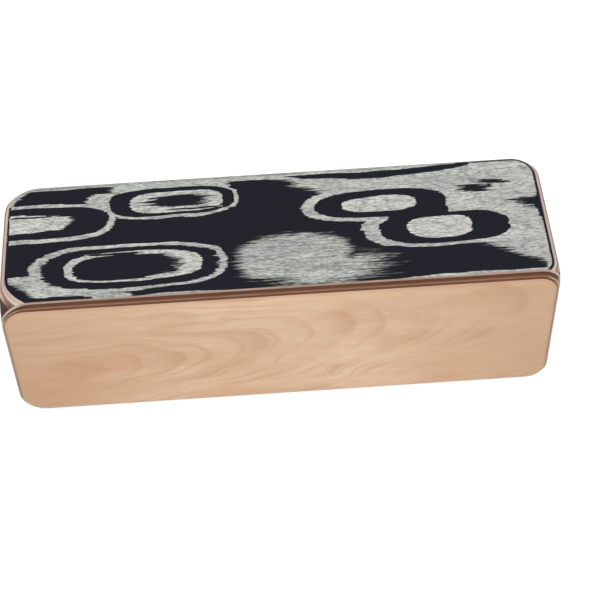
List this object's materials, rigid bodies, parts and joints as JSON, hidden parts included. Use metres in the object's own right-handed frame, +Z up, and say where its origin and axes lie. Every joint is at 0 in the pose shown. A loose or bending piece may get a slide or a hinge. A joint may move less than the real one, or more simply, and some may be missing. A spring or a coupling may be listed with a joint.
{
  "type": "wooden box shaker",
  "caption": "Long square hand shaker of rounded beech plywood with figured black and pale veneer on top, ends and underside, and loose steel shot inside that runs from wall to wall.",
  "frame": {"origin": "middle of the underside, on the surface the box rests on", "axes": "+X along the box to the right end, +Y from the front face to the back face, +Z up through the figured top"},
  "size_m": [0.18, 0.055, 0.055],
  "materials": {
    "beech_face_veneer": "satin lacquer",
    "figured_veneer": "satin lacquer over dyed veneer",
    "beech_crossband": "sanded ply edge, satin lacquer",
    "beech_core": "sanded ply edge, satin lacquer",
    "beech_inner_veneer": "sanded ply edge, bare inside",
    "steel_shot": "smooth steel"
  },
  "bodies": {
    "box": {"front_face_veneer": "beech_face_veneer", "front_outer_crossband": "beech_crossband", "front_core_ply": "beech_core", "front_inner_crossband": "beech_crossband", "front_inner_veneer": "beech_inner_veneer", "back_face_veneer": "beech_face_veneer", "back_outer_crossband": "beech_crossband", "back_core_ply": "beech_core", "back_inner_crossband": "beech_crossband", "back_inner_veneer": "beech_inner_veneer", "top_figured_veneer": "figured_veneer", "top_outer_crossband": "beech_crossband", "top_core_ply": "beech_core", "top_inner_crossband": "beech_crossband", "top_inner_veneer": "beech_inner_veneer", "bottom_figured_veneer": "figured_veneer", "bottom_outer_crossband": "beech_crossband", "bottom_core_ply": "beech_core", "bottom_inner_crossband": "beech_crossband", "bottom_inner_veneer": "beech_inner_veneer", "left_end_figured_veneer": "figured_veneer", "left_end_outer_crossband": "beech_crossband", "left_end_core_ply": "beech_core", "left_end_inner_crossband": "beech_crossband", "left_end_inner_veneer": "beech_inner_veneer", "right_end_figured_veneer": "figured_veneer", "right_end_outer_crossband": "beech_crossband", "right_end_core_ply": "beech_core", "right_end_inner_crossband": "beech_crossband", "right_end_inner_veneer": "beech_inner_veneer"},
    "shot_1": {"shot_lane_1": "steel_shot"},
    "shot_2": {"shot_lane_2": "steel_shot"},
    "shot_3": {"shot_lane_3": "steel_shot"},
    "shot_4": {"shot_lane_4": "steel_shot"},
    "shot_5": {"shot_lane_5": "steel_shot"},
    "shot_6": {"shot_lane_6": "steel_shot"},
    "shot_7": {"shot_lane_7": "steel_shot"},
    "shot_8": {"shot_lane_8": "steel_shot"}
  },
  "joints": [
    {"name": "shot_1_run", "type": "slide", "parent": "box", "child": "shot_1", "axis": [0, 1, 0], "range_m": [-0.0164, 0.0164]},
    {"name": "shot_2_run", "type": "slide", "parent": "box", "child": "shot_2", "axis": [0, 1, 0], "range_m": [-0.0164, 0.0164]},
    {"name": "shot_3_run", "type": "slide", "parent": "box", "child": "shot_3", "axis": [0, 1, 0], "range_m": [-0.0164, 0.0164]},
    {"name": "shot_4_run", "type": "slide", "parent": "box", "child": "shot_4", "axis": [0, 1, 0], "range_m": [-0.0164, 0.0164]},
    {"name": "shot_5_run", "type": "slide", "parent": "box", "child": "shot_5", "axis": [0, 1, 0], "range_m": [-0.0164, 0.0164]},
    {"name": "shot_6_run", "type": "slide", "parent": "box", "child": "shot_6", "axis": [0, 1, 0], "range_m": [-0.0164, 0.0164]},
    {"name": "shot_7_run", "type": "slide", "parent": "box", "child": "shot_7", "axis": [0, 1, 0], "range_m": [-0.0164, 0.0164]},
    {"name": "shot_8_run", "type": "slide", "parent": "box", "child": "shot_8", "axis": [0, 1, 0], "range_m": [-0.0164, 0.0164]}
  ]
}
